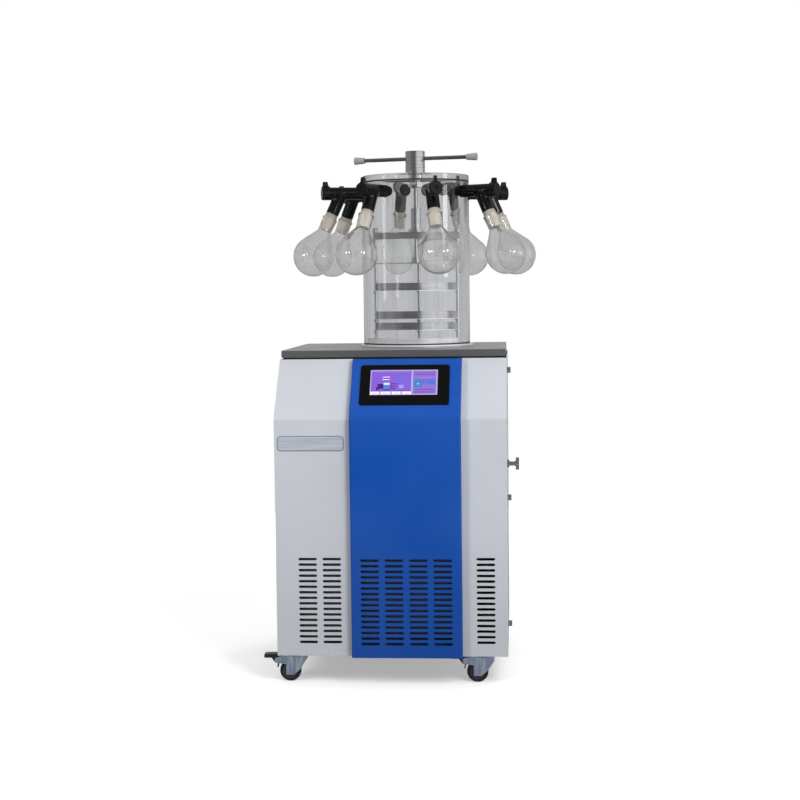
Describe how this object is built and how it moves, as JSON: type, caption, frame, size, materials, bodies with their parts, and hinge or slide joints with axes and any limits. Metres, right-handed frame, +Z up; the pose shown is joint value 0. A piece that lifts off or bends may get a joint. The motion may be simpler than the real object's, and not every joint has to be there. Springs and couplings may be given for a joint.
{
  "type": "freeze dryer",
  "caption": "Floor-standing laboratory freeze dryer: wheeled cabinet with sloped control screen, clear drying chamber, stoppering press, tray rack and a ring of flask ports.",
  "frame": {"origin": "middle of the object's box, on the floor", "axes": "+Z up, the cabinet's front faces -Y, +X to the right seen from the front"},
  "size_m": [0.6458, 0.6748, 1.2555],
  "materials": {
    "grey_paint": "satin",
    "blue_paint": "satin",
    "frame_steel": "matte",
    "counter_grey": "matte",
    "stainless": "brushed",
    "zinc": "satin",
    "acrylic": "gloss",
    "flask_glass": "gloss",
    "valve_rubber": "gloss",
    "valve_plastic": "gloss",
    "seal_rubber": "matte",
    "beige_silicone": "matte",
    "tyre_black": "matte",
    "black_plastic": "matte",
    "bezel_black": "gloss",
    "screen_purple": "gloss",
    "plate_silver": "satin",
    "copper": "satin",
    "foam": "matte",
    "compressor_black": "gloss",
    "fin_black": "matte",
    "box_grey": "matte",
    "grip_grey": "matte"
  },
  "bodies": {
    "cabinet": {"base_frame": "frame_steel", "left_panel": "grey_paint", "right_panel": "grey_paint", "rear_panel": "grey_paint", "front_cover": "blue_paint", "countertop": "counter_grey", "nameplate": "plate_silver", "hmi_bezel": "bezel_black", "hmi_screen": "screen_purple", "side_screws": "stainless", "drain_valve": "stainless", "caster_plates": "black_plastic", "cold_trap": "stainless", "trap_flange": "stainless", "chamber_gaskets": "seal_rubber", "chamber_cylinder": "acrylic", "chamber_lid": "acrylic", "evaporator_coil": "copper", "trap_insulation": "foam", "compressor": "compressor_black", "condenser": "fin_black", "control_box": "box_grey", "power_inlet": "black_plastic", "vacuum_port": "stainless", "guide_sleeve": "stainless", "rack_base": "stainless", "rack_rods": "stainless", "rack_top_plate": "stainless", "rack_shelves": "stainless", "sample_trays": "stainless", "valve_bodies": "valve_rubber", "flask_stoppers": "beige_silicone", "flasks": "flask_glass"},
    "fork_front_left": {"caster_fork_front_left": "zinc"},
    "wheel_front_left": {"caster_wheel_front_left": "tyre_black"},
    "brake_front_left": {"caster_brake_front_left": "black_plastic"},
    "fork_front_right": {"caster_fork_front_right": "zinc"},
    "wheel_front_right": {"caster_wheel_front_right": "tyre_black"},
    "brake_front_right": {"caster_brake_front_right": "black_plastic"},
    "fork_rear_left": {"caster_fork_rear_left": "zinc"},
    "wheel_rear_left": {"caster_wheel_rear_left": "tyre_black"},
    "fork_rear_right": {"caster_fork_rear_right": "zinc"},
    "wheel_rear_right": {"caster_wheel_rear_right": "tyre_black"},
    "drain_knob": {"drain_knob": "stainless"},
    "fan": {"fan_rotor": "black_plastic"},
    "switch": {"power_switch": "black_plastic"},
    "valve_knob_1": {"valve_knob_1": "valve_plastic"},
    "valve_knob_2": {"valve_knob_2": "valve_plastic"},
    "valve_knob_3": {"valve_knob_3": "valve_plastic"},
    "valve_knob_4": {"valve_knob_4": "valve_plastic"},
    "valve_knob_5": {"valve_knob_5": "valve_plastic"},
    "valve_knob_6": {"valve_knob_6": "valve_plastic"},
    "valve_knob_7": {"valve_knob_7": "valve_plastic"},
    "valve_knob_8": {"valve_knob_8": "valve_plastic"},
    "press_head": {"press_head": "stainless", "spindle_nut": "stainless", "t_bar": "stainless", "t_bar_caps": "grip_grey"},
    "press_ram": {"press_rod": "stainless", "press_plate": "stainless"}
  },
  "joints": [
    {"name": "swivel_front_left", "type": "hinge", "parent": "cabinet", "child": "fork_front_left", "pos_m": [-0.25088, -0.26343, 0.071], "axis": [0, 0, 1], "continuous": true},
    {"name": "roll_front_left", "type": "hinge", "parent": "fork_front_left", "child": "wheel_front_left", "pos_m": [-0.26188, -0.26343, 0.025], "axis": [0, 1, 0], "continuous": true},
    {"name": "brake_front_left", "type": "hinge", "parent": "fork_front_left", "child": "brake_front_left", "pos_m": [-0.29087, -0.26343, 0.05], "axis": [0, 1, 0], "range_deg": [-12, 0]},
    {"name": "swivel_front_right", "type": "hinge", "parent": "cabinet", "child": "fork_front_right", "pos_m": [0.18893, -0.26343, 0.071], "axis": [0, 0, 1], "continuous": true},
    {"name": "roll_front_right", "type": "hinge", "parent": "fork_front_right", "child": "wheel_front_right", "pos_m": [0.17792, -0.26343, 0.025], "axis": [0, 1, 0], "continuous": true},
    {"name": "brake_front_right", "type": "hinge", "parent": "fork_front_right", "child": "brake_front_right", "pos_m": [0.14893, -0.26343, 0.05], "axis": [0, 1, 0], "range_deg": [-12, 0]},
    {"name": "swivel_rear_left", "type": "hinge", "parent": "cabinet", "child": "fork_rear_left", "pos_m": [-0.25088, 0.20658, 0.071], "axis": [0, 0, 1], "continuous": true},
    {"name": "roll_rear_left", "type": "hinge", "parent": "fork_rear_left", "child": "wheel_rear_left", "pos_m": [-0.26188, 0.20658, 0.025], "axis": [0, 1, 0], "continuous": true},
    {"name": "swivel_rear_right", "type": "hinge", "parent": "cabinet", "child": "fork_rear_right", "pos_m": [0.18893, 0.20658, 0.071], "axis": [0, 0, 1], "continuous": true},
    {"name": "roll_rear_right", "type": "hinge", "parent": "fork_rear_right", "child": "wheel_rear_right", "pos_m": [0.17792, 0.20658, 0.025], "axis": [0, 1, 0], "continuous": true},
    {"name": "drain_turn", "type": "hinge", "parent": "cabinet", "child": "drain_knob", "pos_m": [0.26653, -0.25343, 0.51], "axis": [1, 0, 0], "range_deg": [0, 90]},
    {"name": "fan_spin", "type": "hinge", "parent": "cabinet", "child": "fan", "pos_m": [-0.05248, -0.24042, 0.195], "axis": [0, 1, 0], "continuous": true},
    {"name": "switch_rock", "type": "hinge", "parent": "cabinet", "child": "switch", "pos_m": [-0.20747, 0.26058, 0.174], "axis": [1, 0, 0], "range_deg": [-7, 7]},
    {"name": "valve_turn_1", "type": "hinge", "parent": "cabinet", "child": "valve_knob_1", "pos_m": [0.08195, -0.16568, 1.1515], "axis": [0.2672, -0.9636, 0], "range_deg": [-90, 90]},
    {"name": "valve_turn_2", "type": "hinge", "parent": "cabinet", "child": "valve_knob_2", "pos_m": [0.21041, -0.06531, 1.1515], "axis": [0.8704, -0.4924, 0], "range_deg": [-90, 90]},
    {"name": "valve_turn_3", "type": "hinge", "parent": "cabinet", "child": "valve_knob_3", "pos_m": [0.23028, 0.0965, 1.1515], "axis": [0.9636, 0.2672, 0], "range_deg": [-90, 90]},
    {"name": "valve_turn_4", "type": "hinge", "parent": "cabinet", "child": "valve_knob_4", "pos_m": [0.12991, 0.22496, 1.1515], "axis": [0.4924, 0.8704, 0], "range_deg": [-90, 90]},
    {"name": "valve_turn_5", "type": "hinge", "parent": "cabinet", "child": "valve_knob_5", "pos_m": [-0.0319, 0.24483, 1.1515], "axis": [-0.2672, 0.9636, 0], "range_deg": [-90, 90]},
    {"name": "valve_turn_6", "type": "hinge", "parent": "cabinet", "child": "valve_knob_6", "pos_m": [-0.16036, 0.14446, 1.1515], "axis": [-0.8704, 0.4924, 0], "range_deg": [-90, 90]},
    {"name": "valve_turn_7", "type": "hinge", "parent": "cabinet", "child": "valve_knob_7", "pos_m": [-0.18023, -0.01735, 1.1515], "axis": [-0.9636, -0.2672, 0], "range_deg": [-90, 90]},
    {"name": "valve_turn_8", "type": "hinge", "parent": "cabinet", "child": "valve_knob_8", "pos_m": [-0.07986, -0.14581, 1.1515], "axis": [-0.4924, -0.8704, 0], "range_deg": [-90, 90]},
    {"name": "press_turn", "type": "hinge", "parent": "cabinet", "child": "press_head", "pos_m": [0.02502, 0.03957, 1.194], "axis": [0, 0, 1], "range_deg": [-3420, 0]},
    {"name": "press_travel", "type": "slide", "parent": "cabinet", "child": "press_ram", "axis": [0, 0, 1], "range_m": [-0.038, 0]}
  ],
  "couplings": [
    {"joint": "press_travel", "follows": "press_turn", "m_per_rad": 0.00063661}
  ]
}
